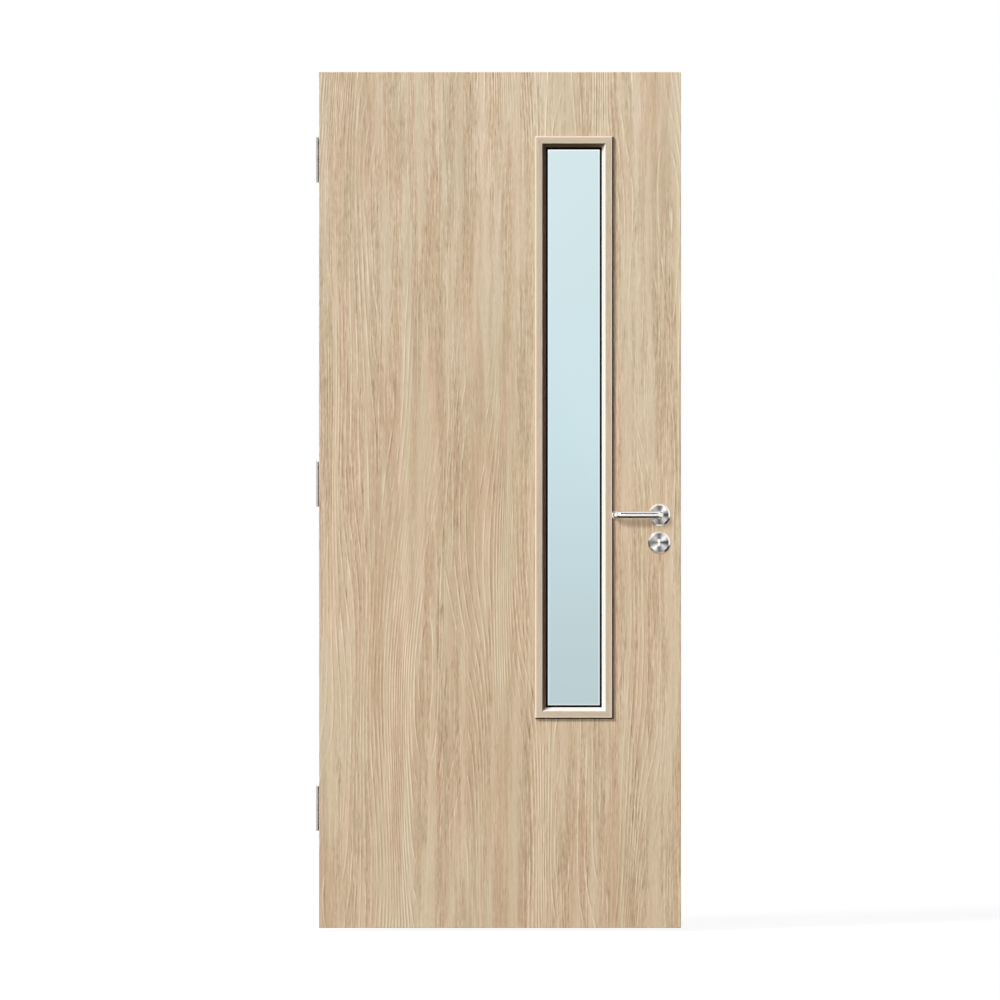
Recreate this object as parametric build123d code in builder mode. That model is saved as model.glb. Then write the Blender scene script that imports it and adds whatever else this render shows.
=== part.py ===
"""Glazed fire door: a flush leaf with a tall vision panel, a lever set, a mortice lock and three butt hinges.

Millimetres. The origin lies on the jamb side of the bottom hinge, on the leaf's middle plane.
+X runs from the hinges to the lock, +Y from the push face (front) to the pull face (back), +Z up.
"""

import os

from build123d import *

# Leaf
LEAF_WIDTH = 838.0
LEAF_HEIGHT = 1981.0
LEAF_THICKNESS = 44.0
FACING_THICKNESS = 3.0
LIPPING_THICKNESS = 8.0
LEAF_ARRIS = 1.0

# Vision panel: sizes run outwards from the clear glass to the outer edge of the bead
PANE_CLEAR_WIDTH = 120.0
PANE_CLEAR_HEIGHT = 1287.5
PANE_THICKNESS = 7.0
PANE_EDGE_GAP = 3.0
SEAL_SHOWING = 4.0
SEAL_THICKNESS = 3.0
SEAL_UNDER_BEAD = 10.0
BEAD_SPLAY_WIDTH = 9.0
BEAD_SPLAY_DEPTH = 16.0
BEAD_FLAT_WIDTH = 17.0
BEAD_PROUD = 6.0
BEAD_FACE_OVERLAP = 10.0
BEAD_FIT = 0.5
BEAD_OUTER_ROUND = 2.0
BEAD_INNER_ROUND = 0.8
PANEL_TOP_MARGIN = 148.5
PANEL_LOCK_MARGIN = 158.0

# Lock: the follower that the levers turn, and the keyhole below it
LOCK_BACKSET = 50.5
LOCK_HEIGHT = 956.0
LOCK_CENTRES = 64.0
CASE_DEPTH = 64.0
CASE_THICKNESS = 14.0
CASE_ABOVE_FOLLOWER = 40.0
CASE_BELOW_KEYHOLE = 45.0
CASE_FIT = 0.5
FOREND_WIDTH = 22.0
FOREND_THICKNESS = 3.0
FOREND_PAST_CASE = 30.0
FOREND_SCREW_INSET = 12.0
FOLLOWER_DIAMETER = 20.0
LATCH_HEIGHT = 18.0
LATCH_WIDTH = 11.0
DEADBOLT_HEIGHT = 28.0
DEADBOLT_WIDTH = 11.0
BOLT_LENGTH = 34.0
BOLT_FIT = 0.3

# Keyhole
KEYHOLE_HEAD_DIAMETER = 8.0
KEYHOLE_SHANK_WIDTH = 5.0
KEYHOLE_HEIGHT = 17.0
KEY_PASSAGE_MARGIN = 3.0

# Lever set
ROSE_DIAMETER = 52.0
ROSE_THICKNESS = 9.0
ROSE_BEVEL = 4.5
ROSE_RIM_ROUND = 0.8
LEVER_DIAMETER = 19.0
LEVER_SPAN = 101.5
LEVER_STANDOFF = 52.0
LEVER_BEND = 14.0
LEVER_TIP_GAP = 12.0
LEVER_TIP_ROUND = 1.5
LEVER_RUNNING_GAP = 0.3
NECK_INSET = 1.0
SPINDLE_SIZE = 8.0
SPINDLE_IN_NECK = 20.0
SPINDLE_PASSAGE_DIAMETER = 22.0

# Butt hinges
HINGE_HEIGHT = 102.0
HINGE_REACH = 33.0
HINGE_LEAF_THICKNESS = 3.0
HINGE_GAP = 3.0
HINGE_RECESS_FIT = 0.25
KNUCKLE_DIAMETER = 13.0
KNUCKLE_COUNT = 5
KNUCKLE_GAP = 0.4
KNUCKLE_RELIEF = 0.8
PIN_DIAMETER = 7.0
PIN_RUNNING_GAP = 0.05
PIN_HEAD_HEIGHT = 2.0
PIN_OFFSET = 8.0
TOP_HINGE_INSET = 150.0
BOTTOM_HINGE_INSET = 225.0
SCREW_HOLE_DIAMETER = 5.2
SCREW_HEAD_DIAMETER = 9.6
SCREW_HEAD_ANGLE = 90.0
SCREW_OUTER_SPACING = 76.0
SCREW_INNER_SPACING = 26.0
SCREW_OUTER_INSET = 10.0
SCREW_INNER_INSET = 21.0

# Leaf edges and faces
EDGE_X = HINGE_LEAF_THICKNESS + HINGE_GAP
LOCK_EDGE_X = EDGE_X + LEAF_WIDTH
LEAF_X = (EDGE_X + LOCK_EDGE_X) / 2
FACE_Y = LEAF_THICKNESS / 2
BOTTOM_Z = -(BOTTOM_HINGE_INSET + HINGE_HEIGHT / 2)
TOP_Z = BOTTOM_Z + LEAF_HEIGHT
LEAF_Z = (BOTTOM_Z + TOP_Z) / 2
CORE_THICKNESS = LEAF_THICKNESS - 2 * FACING_THICKNESS

# Vision panel, worked out from its clear glass
BEAD_WIDTH = BEAD_SPLAY_WIDTH + BEAD_FLAT_WIDTH
PANEL_BORDER = SEAL_SHOWING + BEAD_WIDTH
PANEL_X = LOCK_EDGE_X - PANEL_LOCK_MARGIN - PANEL_BORDER - PANE_CLEAR_WIDTH / 2
PANEL_Z = TOP_Z - PANEL_TOP_MARGIN - PANEL_BORDER - PANE_CLEAR_HEIGHT / 2
BEAD_INNER_WIDTH = PANE_CLEAR_WIDTH + 2 * SEAL_SHOWING
BEAD_INNER_HEIGHT = PANE_CLEAR_HEIGHT + 2 * SEAL_SHOWING
APERTURE_BORDER = BEAD_WIDTH - BEAD_FACE_OVERLAP
APERTURE_WIDTH = BEAD_INNER_WIDTH + 2 * APERTURE_BORDER
APERTURE_HEIGHT = BEAD_INNER_HEIGHT + 2 * APERTURE_BORDER
BEAD_SEAT_Y = PANE_THICKNESS / 2 + SEAL_THICKNESS

# Lock places
LOCK_X = LOCK_EDGE_X - LOCK_BACKSET
FOLLOWER_Z = BOTTOM_Z + LOCK_HEIGHT
KEY_Z = FOLLOWER_Z - LOCK_CENTRES
CASE_TOP_Z = FOLLOWER_Z + CASE_ABOVE_FOLLOWER
CASE_BOTTOM_Z = KEY_Z - CASE_BELOW_KEYHOLE
CASE_HEIGHT = CASE_TOP_Z - CASE_BOTTOM_Z
CASE_Z = (CASE_TOP_Z + CASE_BOTTOM_Z) / 2
FOREND_HEIGHT = CASE_HEIGHT + 2 * FOREND_PAST_CASE
FOREND_BACK_X = LOCK_EDGE_X - FOREND_THICKNESS
CASE_X = FOREND_BACK_X - CASE_DEPTH / 2

# Hinge places
PIN_X = EDGE_X - HINGE_GAP / 2
PIN_Y = FACE_Y + PIN_OFFSET
KNUCKLE_RADIUS = KNUCKLE_DIAMETER / 2
HINGE_FREE_EDGE_Y = FACE_Y - HINGE_REACH
HINGE_PLATE_END_Y = PIN_Y - KNUCKLE_RADIUS - KNUCKLE_RELIEF
KNUCKLE_LENGTH = (HINGE_HEIGHT - (KNUCKLE_COUNT - 1) * KNUCKLE_GAP) / KNUCKLE_COUNT
TOP_HINGE_Z = TOP_Z - TOP_HINGE_INSET - HINGE_HEIGHT / 2
HINGE_Z = {"bottom": 0.0, "middle": TOP_HINGE_Z / 2, "top": TOP_HINGE_Z}

# The push face looks along -Y and the pull face along +Y
FACES = {"front": -1, "back": 1}


def save(piece, name):
    """Labels a finished piece and writes it as one STEP file."""
    piece.label = name
    export_step(piece, f"parts/{name}.step")


def upright_plane(y):
    """A plane at depth y whose sketch axes are the leaf's X and Z."""
    return Plane.XZ.offset(-y)


def spread(low, high):
    """Length and middle of the stretch between two places."""
    return high - low, (low + high) / 2


# Door leaf


def make_core():
    """Particle board slab with the vision panel's aperture, the lock mortice and its two passages."""
    width = LEAF_WIDTH - 2 * LIPPING_THICKNESS
    height = LEAF_HEIGHT - 2 * LIPPING_THICKNESS
    with BuildPart() as core:
        with BuildSketch(upright_plane(0)):
            with Locations((LEAF_X, LEAF_Z)):
                Rectangle(width, height)
            with Locations((PANEL_X, PANEL_Z)):
                Rectangle(APERTURE_WIDTH, APERTURE_HEIGHT, mode=Mode.SUBTRACT)
        extrude(amount=CORE_THICKNESS / 2, both=True)
        extrude(lock_passages(), amount=LEAF_THICKNESS, both=True, mode=Mode.SUBTRACT)
        cut_lock_mortice()
    save(core.part, "core")


def lock_passages():
    """Outlines of the holes through the leaf for the spindle and the key."""
    key_width = KEYHOLE_HEAD_DIAMETER + 2 * KEY_PASSAGE_MARGIN
    key_height = KEYHOLE_HEIGHT + 2 * KEY_PASSAGE_MARGIN
    with BuildSketch(upright_plane(0)) as passages:
        with Locations((LOCK_X, FOLLOWER_Z)):
            Circle(SPINDLE_PASSAGE_DIAMETER / 2)
        with Locations((LOCK_X, KEY_Z)):
            SlotOverall(key_height, key_width, rotation=90)
    return passages.sketch


def cut_lock_mortice():
    """Pocket for the lock case, open at the lock edge."""
    depth, middle = spread(FOREND_BACK_X - CASE_DEPTH - CASE_FIT, LOCK_EDGE_X)
    with Locations((middle, 0, CASE_Z)):
        Box(depth, CASE_THICKNESS + 2 * CASE_FIT, CASE_HEIGHT + 2 * CASE_FIT, mode=Mode.SUBTRACT)


def cut_hinge_recesses():
    """Recesses in the hinge edge that let each hinge leaf lie flush, open at the pull face."""
    length, middle_y = spread(HINGE_FREE_EDGE_Y - HINGE_RECESS_FIT, FACE_Y)
    middle_x = EDGE_X + HINGE_LEAF_THICKNESS / 2
    with Locations([(middle_x, middle_y, z) for z in HINGE_Z.values()]):
        Box(HINGE_LEAF_THICKNESS, length, HINGE_HEIGHT + 2 * HINGE_RECESS_FIT, mode=Mode.SUBTRACT)


def make_facing(face):
    """Wood-grained sheet over one whole face, its outer edge eased, with the aperture and the lock's passages."""
    outward = FACES[face]
    middle_y = outward * (FACE_Y - FACING_THICKNESS / 2)
    with BuildPart() as facing:
        with BuildSketch(upright_plane(middle_y)):
            with Locations((LEAF_X, LEAF_Z)):
                Rectangle(LEAF_WIDTH, LEAF_HEIGHT)
            with Locations((PANEL_X, PANEL_Z)):
                Rectangle(APERTURE_WIDTH, APERTURE_HEIGHT, mode=Mode.SUBTRACT)
        extrude(amount=FACING_THICKNESS / 2, both=True)
        show_face = facing.faces().filter_by(Axis.Y).sort_by(Axis.Y)[-1 if outward > 0 else 0]
        fillet(show_face.outer_wire().edges(), LEAF_ARRIS)
        extrude(lock_passages(), amount=LEAF_THICKNESS, both=True, mode=Mode.SUBTRACT)
        if face == "back":
            cut_hinge_recesses()
    save(facing.part, f"{face}_facing")


def make_lippings():
    """Hardwood edges between the two facings: two full-height ones, with the short ones between them."""
    with BuildPart() as hinge_lipping:
        with Locations((EDGE_X + LIPPING_THICKNESS / 2, 0, LEAF_Z)):
            Box(LIPPING_THICKNESS, CORE_THICKNESS, LEAF_HEIGHT)
        cut_hinge_recesses()
    save(hinge_lipping.part, "hinge_edge_lipping")

    with BuildPart() as lock_lipping:
        with Locations((LOCK_EDGE_X - LIPPING_THICKNESS / 2, 0, LEAF_Z)):
            Box(LIPPING_THICKNESS, CORE_THICKNESS, LEAF_HEIGHT)
        cut_lock_mortice()
        with Locations((LOCK_EDGE_X - FOREND_THICKNESS / 2, 0, CASE_Z)):
            Box(FOREND_THICKNESS, FOREND_WIDTH, FOREND_HEIGHT, mode=Mode.SUBTRACT)
    save(lock_lipping.part, "lock_edge_lipping")

    length = LEAF_WIDTH - 2 * LIPPING_THICKNESS
    middles = {"top": TOP_Z - LIPPING_THICKNESS / 2, "bottom": BOTTOM_Z + LIPPING_THICKNESS / 2}
    for end, z in middles.items():
        with BuildPart() as lipping:
            with Locations((LEAF_X, 0, z)):
                Box(length, CORE_THICKNESS, LIPPING_THICKNESS)
        save(lipping.part, f"{end}_edge_lipping")


# Vision panel


def make_glass():
    """Fire-resisting pane, a little smaller than the aperture so that it can expand."""
    with BuildPart() as glass:
        with Locations((PANEL_X, 0, PANEL_Z)):
            Box(APERTURE_WIDTH - 2 * PANE_EDGE_GAP, PANE_THICKNESS, APERTURE_HEIGHT - 2 * PANE_EDGE_GAP)
    save(glass.part, "glass_pane")


def make_seal(face):
    """Dark glazing seal between the pane and the bead, showing as a thin line around the clear glass."""
    border = SEAL_SHOWING + SEAL_UNDER_BEAD
    middle_y = FACES[face] * (PANE_THICKNESS + SEAL_THICKNESS) / 2
    with BuildPart() as seal:
        with BuildSketch(upright_plane(middle_y)):
            with Locations((PANEL_X, PANEL_Z)):
                Rectangle(PANE_CLEAR_WIDTH + 2 * border, PANE_CLEAR_HEIGHT + 2 * border)
                Rectangle(PANE_CLEAR_WIDTH, PANE_CLEAR_HEIGHT, mode=Mode.SUBTRACT)
        extrude(amount=SEAL_THICKNESS / 2, both=True)
    save(seal.part, f"{face}_glazing_seal")


def bead_section(plane):
    """Section of a bead: on the given plane x runs outwards from the pane and y away from the seal.

    A splay rises from the seal to a flat band, and a lip beyond the aperture lies on the leaf's face.
    """
    face_height = FACE_Y - BEAD_SEAT_Y
    front_height = face_height + BEAD_PROUD
    splay_foot = front_height - BEAD_SPLAY_DEPTH
    seat_width = APERTURE_BORDER - BEAD_FIT
    with BuildSketch(plane) as section:
        with BuildLine():
            Polyline(
                (0, 0),
                (0, splay_foot),
                (BEAD_SPLAY_WIDTH, front_height),
                (BEAD_WIDTH, front_height),
                (BEAD_WIDTH, face_height),
                (seat_width, face_height),
                (seat_width, 0),
                close=True,
            )
        make_face()
        fillet(section.vertices().group_by(Axis.Y)[-1].sort_by(Axis.X)[0], BEAD_INNER_ROUND)
        fillet(section.vertices().group_by(Axis.Y)[-1].sort_by(Axis.X)[-1], BEAD_OUTER_ROUND)
    return section.sketch


def make_beads(face):
    """Four hardwood beads around the pane on one face, mitred where they meet."""
    proud = Vector(0, FACES[face], 0)
    half_width, half_height = BEAD_INNER_WIDTH / 2, BEAD_INNER_HEIGHT / 2
    members = {
        "hinge_side": (Vector(-1, 0, 0), half_width, half_height),
        "lock_side": (Vector(1, 0, 0), half_width, half_height),
        "top": (Vector(0, 0, 1), half_height, half_width),
        "bottom": (Vector(0, 0, -1), half_height, half_width),
    }
    for member, (outward, inner_edge, half_run) in members.items():
        along = outward.cross(proud)
        seat = Vector(PANEL_X, 0, PANEL_Z) + outward * inner_edge + proud * BEAD_SEAT_Y
        section = bead_section(Plane(origin=seat, x_dir=outward, z_dir=along))
        with BuildPart() as bead:
            extrude(section, amount=half_run + BEAD_WIDTH, both=True)
            for end in (-1, 1):
                mitre = Plane(origin=seat + along * (end * half_run), z_dir=along * end - outward)
                split(bisect_by=mitre, keep=Keep.BOTTOM)
        save(bead.part, f"{face}_bead_{member}")


# Lock


def keyhole():
    """Outline of the keyhole: a round head over a straight shank."""
    head_z = KEY_Z + KEYHOLE_HEIGHT / 2 - KEYHOLE_HEAD_DIAMETER / 2
    foot_z = KEY_Z - KEYHOLE_HEIGHT / 2
    shank_height, shank_z = spread(foot_z, head_z)
    with BuildSketch(upright_plane(0)) as outline:
        with Locations((LOCK_X, head_z)):
            Circle(KEYHOLE_HEAD_DIAMETER / 2)
        with Locations((LOCK_X, shank_z)):
            Rectangle(KEYHOLE_SHANK_WIDTH, shank_height)
    return outline.sketch


def bolt_places():
    """Each bolt's name with its height above the origin, its width and its height."""
    return {
        "latch_bolt": (FOLLOWER_Z, LATCH_WIDTH, LATCH_HEIGHT),
        "deadbolt": (KEY_Z, DEADBOLT_WIDTH, DEADBOLT_HEIGHT),
    }


def cut_bolt_ways():
    """Openings for the two bolts, from the lock edge back into the case."""
    depth, middle = spread(LOCK_EDGE_X - BOLT_LENGTH, LOCK_EDGE_X)
    for z, width, height in bolt_places().values():
        with Locations((middle, 0, z)):
            Box(depth, width + 2 * BOLT_FIT, height + 2 * BOLT_FIT, mode=Mode.SUBTRACT)


def make_lock():
    """Mortice lock: case, forend flush in the lock edge, and both bolts drawn back flush with it."""
    with BuildPart() as case:
        with Locations((CASE_X, 0, CASE_Z)):
            Box(CASE_DEPTH, CASE_THICKNESS, CASE_HEIGHT)
        with BuildSketch(upright_plane(0)):
            with Locations((LOCK_X, FOLLOWER_Z)):
                Circle(FOLLOWER_DIAMETER / 2)
        extrude(amount=CASE_THICKNESS, both=True, mode=Mode.SUBTRACT)
        extrude(keyhole(), amount=CASE_THICKNESS, both=True, mode=Mode.SUBTRACT)
        cut_bolt_ways()
    save(case.part, "lock_case")

    screw_spacing = FOREND_HEIGHT - 2 * FOREND_SCREW_INSET
    with BuildPart() as forend:
        with Locations((LOCK_EDGE_X - FOREND_THICKNESS / 2, 0, CASE_Z)):
            Box(FOREND_THICKNESS, FOREND_WIDTH, FOREND_HEIGHT)
        cut_bolt_ways()
        with Locations(Plane(origin=(LOCK_EDGE_X, 0, CASE_Z), x_dir=(0, 1, 0), z_dir=(1, 0, 0))):
            with GridLocations(0, screw_spacing, 1, 2):
                screw_hole()
    save(forend.part, "lock_forend")

    for name, (z, width, height) in bolt_places().items():
        with BuildPart() as bolt:
            with Locations((LOCK_EDGE_X - BOLT_LENGTH / 2, 0, z)):
                Box(BOLT_LENGTH, width, height)
        save(bolt.part, name)


def screw_hole():
    """Countersunk hole for a wood screw, at the places in force."""
    CounterSinkHole(SCREW_HOLE_DIAMETER / 2, SCREW_HEAD_DIAMETER / 2, counter_sink_angle=SCREW_HEAD_ANGLE)


# Lever set


def make_disc(face, z, bore):
    """Round cover on one face, its rim bevelled, with a bore along its axis where that is over zero."""
    outward = Vector(0, FACES[face], 0)
    centre = Vector(LOCK_X, 0, z) + outward * FACE_Y
    radial = Vector(1, 0, 0)
    radius = ROSE_DIAMETER / 2
    with BuildPart() as disc:
        with BuildSketch(Plane(origin=centre, x_dir=radial, z_dir=radial.cross(outward))) as section:
            with BuildLine():
                Polyline(
                    (bore, 0),
                    (radius, 0),
                    (radius, ROSE_THICKNESS - ROSE_BEVEL),
                    (radius - ROSE_BEVEL, ROSE_THICKNESS),
                    (bore, ROSE_THICKNESS),
                    close=True,
                )
            make_face()
            fillet(section.vertices().group_by(Axis.X)[-1].sort_by(Axis.Y)[-1], ROSE_RIM_ROUND)
            fillet(section.vertices().group_by(Axis.Y)[-1].sort_by(Axis.X)[-1], ROSE_RIM_ROUND)
        revolve(axis=Axis(centre, outward))
    return disc.part


def make_roses():
    """The lever's rose and the keyhole's escutcheon on each face."""
    for face in FACES:
        rose = make_disc(face, FOLLOWER_Z, LEVER_DIAMETER / 2 + LEVER_RUNNING_GAP)
        save(rose, f"{face}_lever_rose")
        cover = make_disc(face, KEY_Z, 0)
        with BuildPart() as escutcheon:
            add(cover)
            extrude(keyhole(), amount=FACE_Y + ROSE_THICKNESS, both=True, mode=Mode.SUBTRACT)
        save(escutcheon.part, f"{face}_keyhole_escutcheon")


def make_lever(face):
    """Bent round lever bar: a neck from the spindle, a grip along the leaf and a return towards it."""
    outward = FACES[face]
    neck_y = outward * (FACE_Y + NECK_INSET)
    grip_y = outward * (FACE_Y + LEVER_STANDOFF)
    tip_y = outward * (FACE_Y + LEVER_TIP_GAP)
    tip_x = LOCK_X - LEVER_SPAN
    with BuildPart() as lever:
        with BuildLine() as path:
            FilletPolyline(
                (LOCK_X, neck_y, FOLLOWER_Z),
                (LOCK_X, grip_y, FOLLOWER_Z),
                (tip_x, grip_y, FOLLOWER_Z),
                (tip_x, tip_y, FOLLOWER_Z),
                radius=LEVER_BEND,
            )
        with BuildSketch(Plane(origin=(LOCK_X, neck_y, FOLLOWER_Z), z_dir=(0, outward, 0))):
            Circle(LEVER_DIAMETER / 2)
        sweep(path=path.wire())
        tip_face = lever.faces().filter_by(GeomType.PLANE).sort_by(Axis.X)[0]
        fillet(tip_face.edges(), LEVER_TIP_ROUND)
        with BuildSketch(Plane(origin=(LOCK_X, neck_y, FOLLOWER_Z), z_dir=(0, outward, 0))):
            Rectangle(SPINDLE_SIZE, SPINDLE_SIZE)
        extrude(amount=SPINDLE_IN_NECK, mode=Mode.SUBTRACT)
    save(lever.part, f"{face}_lever")


def make_spindle():
    """Square bar that joins the two levers through the lock."""
    with BuildPart() as spindle:
        with Locations((LOCK_X, 0, FOLLOWER_Z)):
            Box(SPINDLE_SIZE, 2 * (FACE_Y + NECK_INSET + SPINDLE_IN_NECK), SPINDLE_SIZE)
    save(spindle.part, "spindle")


# Hinges


def knuckle_middles(first, z):
    """Heights of every second knuckle of the hinge at height z, counted from its foot."""
    pitch = KNUCKLE_LENGTH + KNUCKLE_GAP
    foot = z - HINGE_HEIGHT / 2 + KNUCKLE_LENGTH / 2
    return [foot + index * pitch for index in range(first, KNUCKLE_COUNT, 2)]


def make_hinge_leaf(name, z, plate_x, outside, first_knuckle):
    """One leaf of a butt hinge: a plate with countersunk holes, joined to its own share of the knuckles.

    plate_x is the plate's face towards the other leaf, and outside the way from there through the plate.
    """
    middle_x = plate_x + outside * HINGE_LEAF_THICKNESS / 2
    length, middle_y = spread(HINGE_FREE_EDGE_Y, HINGE_PLATE_END_Y)
    tab_length, tab_y = spread(HINGE_PLATE_END_Y, PIN_Y)
    inner_face = Plane(origin=(plate_x, HINGE_FREE_EDGE_Y, z), x_dir=(0, 1, 0), z_dir=(-outside, 0, 0))
    middles = knuckle_middles(first_knuckle, z)
    with BuildPart() as leaf:
        with Locations((middle_x, middle_y, z)):
            Box(HINGE_LEAF_THICKNESS, length, HINGE_HEIGHT)
        with Locations([(middle_x, tab_y, height) for height in middles]):
            Box(HINGE_LEAF_THICKNESS, tab_length, KNUCKLE_LENGTH)
        with Locations([(PIN_X, PIN_Y, height) for height in middles]):
            Cylinder(KNUCKLE_RADIUS, KNUCKLE_LENGTH)
        with Locations((PIN_X, PIN_Y, z)):
            Cylinder(PIN_DIAMETER / 2 + PIN_RUNNING_GAP, HINGE_HEIGHT, mode=Mode.SUBTRACT)
        with Locations(inner_face):
            for inset, spacing in (
                (SCREW_OUTER_INSET, SCREW_OUTER_SPACING),
                (SCREW_INNER_INSET, SCREW_INNER_SPACING),
            ):
                with Locations((inset, spacing / 2), (inset, -spacing / 2)):
                    screw_hole()
    save(leaf.part, name)


def make_hinge(place, z):
    """A butt hinge: a leaf for the jamb, a leaf let into the door edge and a headed pin through both."""
    make_hinge_leaf(f"{place}_hinge_jamb_leaf", z, EDGE_X - HINGE_GAP, -1, 0)
    make_hinge_leaf(f"{place}_hinge_door_leaf", z, EDGE_X, 1, 1)
    with BuildPart() as pin:
        with Locations((PIN_X, PIN_Y, z)):
            Cylinder(PIN_DIAMETER / 2, HINGE_HEIGHT)
        head = (HINGE_HEIGHT + PIN_HEAD_HEIGHT) / 2
        with Locations((PIN_X, PIN_Y, z + head), (PIN_X, PIN_Y, z - head)):
            Cylinder(KNUCKLE_RADIUS, PIN_HEAD_HEIGHT)
        rims = pin.edges().filter_by(GeomType.CIRCLE).group_by(Axis.Z)
        fillet(rims[0] + rims[-1], PIN_HEAD_HEIGHT / 2)
    save(pin.part, f"{place}_hinge_pin")


def main():
    os.makedirs("parts", exist_ok=True)
    make_core()
    make_lippings()
    make_glass()
    for face in FACES:
        make_facing(face)
        make_seal(face)
        make_beads(face)
        make_lever(face)
    make_lock()
    make_roses()
    make_spindle()
    for place, z in HINGE_Z.items():
        make_hinge(place, z)


main()
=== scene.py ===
"""Glazed fire door: oak facings and beads, a tinted fire-resisting pane, satin stainless levers and hinges.

Metres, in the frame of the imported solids: +X from the hinges to the lock, +Y from front to back, +Z up.
"""

import math

import bpy
import numpy as np
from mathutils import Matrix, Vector


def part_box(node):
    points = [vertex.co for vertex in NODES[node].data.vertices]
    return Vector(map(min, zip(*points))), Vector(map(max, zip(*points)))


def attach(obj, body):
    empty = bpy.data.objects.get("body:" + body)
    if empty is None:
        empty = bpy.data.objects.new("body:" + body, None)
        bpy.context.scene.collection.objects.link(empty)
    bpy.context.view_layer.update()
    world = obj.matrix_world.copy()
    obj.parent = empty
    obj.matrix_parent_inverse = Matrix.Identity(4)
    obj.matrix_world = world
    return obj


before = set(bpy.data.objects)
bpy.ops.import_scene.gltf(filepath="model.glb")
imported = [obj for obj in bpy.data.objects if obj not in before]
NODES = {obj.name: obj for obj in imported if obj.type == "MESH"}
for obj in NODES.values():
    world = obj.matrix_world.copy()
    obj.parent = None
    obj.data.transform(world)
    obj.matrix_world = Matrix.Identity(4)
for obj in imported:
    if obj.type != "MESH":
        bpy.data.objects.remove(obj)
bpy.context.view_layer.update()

# The leaf's faces, with the sign of Y on each
FACES = {"front": -1.0, "back": 1.0}
HINGES = ("bottom", "middle", "top")
DISCS = ("lever_rose", "keyhole_escutcheon")
BEAD_MEMBERS = ("top", "bottom", "hinge_side", "lock_side")


# Places taken from the solids


def middle_of(box):
    """The middle of a solid's box as the leaf's face shows it, on the leaf's middle plane."""
    low, high = box
    return np.array([(low[0] + high[0]) / 2, 0.0, (low[2] + high[2]) / 2])


LEAF_LOW, LEAF_HIGH = np.array(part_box("front_facing"))
LEAF_CENTRE = middle_of(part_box("front_facing"))
PANE_LOW, PANE_HIGH = np.array(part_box("glass_pane"))
PANEL_CENTRE = (PANE_LOW + PANE_HIGH) / 2
BEAD_LOW = np.array(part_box("front_bead_hinge_side")[0])
BEAD_HIGH = np.array(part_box("front_bead_lock_side")[1])
LEVER_AXIS = middle_of(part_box("front_lever_rose"))
KEYHOLE_AXIS = middle_of(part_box("front_keyhole_escutcheon"))

# Vision panel, as in the solids
BEAD_WIDTH = 0.026
BEAD_SPLAY = 0.009
SEAL_SHOWING = 0.004


# Node tools

FLOAT, VECTOR = "NodeSocketFloat", "NodeSocketVector"
WHITE = (1.0, 1.0, 1.0, 1.0)


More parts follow.
